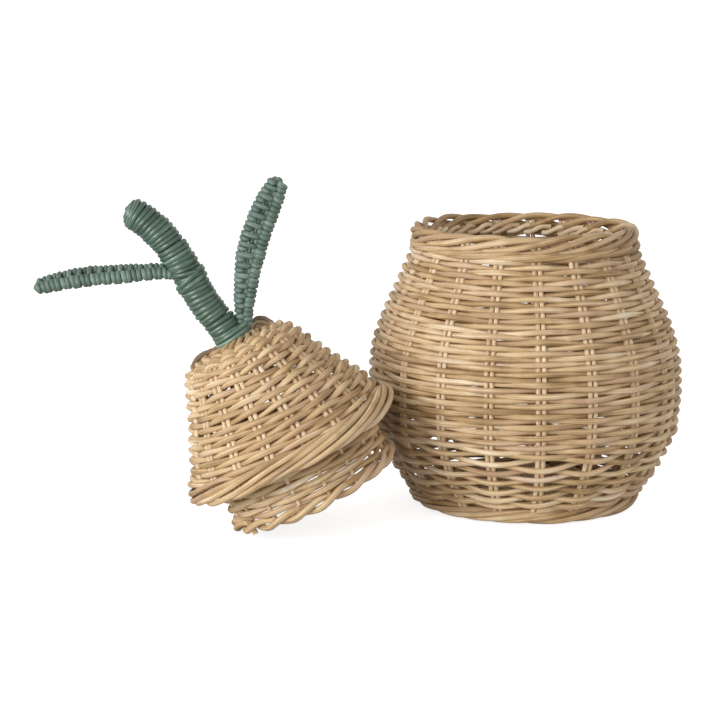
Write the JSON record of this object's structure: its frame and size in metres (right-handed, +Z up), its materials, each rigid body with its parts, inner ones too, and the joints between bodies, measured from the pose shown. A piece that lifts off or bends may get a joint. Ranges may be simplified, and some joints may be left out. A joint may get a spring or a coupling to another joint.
{
  "type": "lidded woven basket",
  "caption": "Pear-shaped woven cane basket with an open mouth, and its cone-shaped woven lid with a wound stem and two woven leaves, lifted off and leaning on the basket.",
  "frame": {"origin": "middle of the footprint of the basket and its leaning lid, on the surface they stand on", "axes": "+Z up along the basket's own axis; +X from the leaning lid towards the basket; +Y away from the side the picture was taken from"},
  "size_m": [0.3588, 0.2216, 0.1918],
  "materials": {
    "honey_cane": "natural peeled cane, satin, honey tan",
    "pale_cane": "natural peeled cane, satin, pale cream",
    "shaded_cane": "natural peeled cane, satin, darker tan",
    "green_cane": "cane painted mid green, satin",
    "dark_green_cane": "cane painted dark green, satin"
  },
  "bodies": {
    "basket": {"side_weave": "honey_cane", "side_stake_pair_1": "pale_cane", "side_stake_pair_2": "pale_cane", "side_stake_pair_3": "pale_cane", "side_stake_pair_4": "pale_cane", "side_stake_pair_5": "pale_cane", "side_stake_pair_6": "pale_cane", "side_stake_pair_7": "pale_cane", "side_stake_pair_8": "pale_cane", "side_stake_pair_9": "pale_cane", "side_stake_pair_10": "pale_cane", "side_stake_pair_11": "pale_cane", "side_stake_pair_12": "pale_cane", "side_stake_pair_13": "pale_cane", "side_stake_pair_14": "pale_cane", "side_stake_pair_15": "pale_cane", "side_stake_pair_16": "pale_cane", "side_stake_pair_17": "pale_cane", "side_stake_pair_18": "pale_cane", "side_stake_pair_19": "pale_cane", "foot_border": "shaded_cane", "rim_wale": "shaded_cane", "rim_border": "honey_cane", "base_weave": "honey_cane", "base_cross_sticks": "pale_cane"},
    "lid": {"lid_weave": "honey_cane", "lid_stake_pair_1": "pale_cane", "lid_stake_pair_2": "pale_cane", "lid_stake_pair_3": "pale_cane", "lid_stake_pair_4": "pale_cane", "lid_stake_pair_5": "pale_cane", "lid_stake_pair_6": "pale_cane", "lid_stake_pair_7": "pale_cane", "lid_stake_pair_8": "pale_cane", "lid_stake_pair_9": "pale_cane", "lid_stake_pair_10": "pale_cane", "lid_stake_pair_11": "pale_cane", "lid_stake_pair_12": "pale_cane", "lid_stake_pair_13": "pale_cane", "lid_stake_pair_14": "pale_cane", "lid_stake_pair_15": "pale_cane", "lid_stake_pair_16": "pale_cane", "lid_stake_pair_17": "pale_cane", "lid_edge_border": "shaded_cane", "lid_crown": "honey_cane", "collar_weave": "honey_cane", "collar_stakes_and_border": "pale_cane", "stem_core": "dark_green_cane", "stem_winding": "green_cane", "side_leaf_ribs": "dark_green_cane", "side_leaf_weave": "green_cane", "upright_leaf_ribs": "dark_green_cane", "upright_leaf_weave": "green_cane"}
  },
  "joints": [
    {"name": "lid_lift", "type": "slide", "parent": "basket", "child": "lid", "axis": [-0.4555, 0, 0.8902], "range_m": [0, 0.15]}
  ]
}
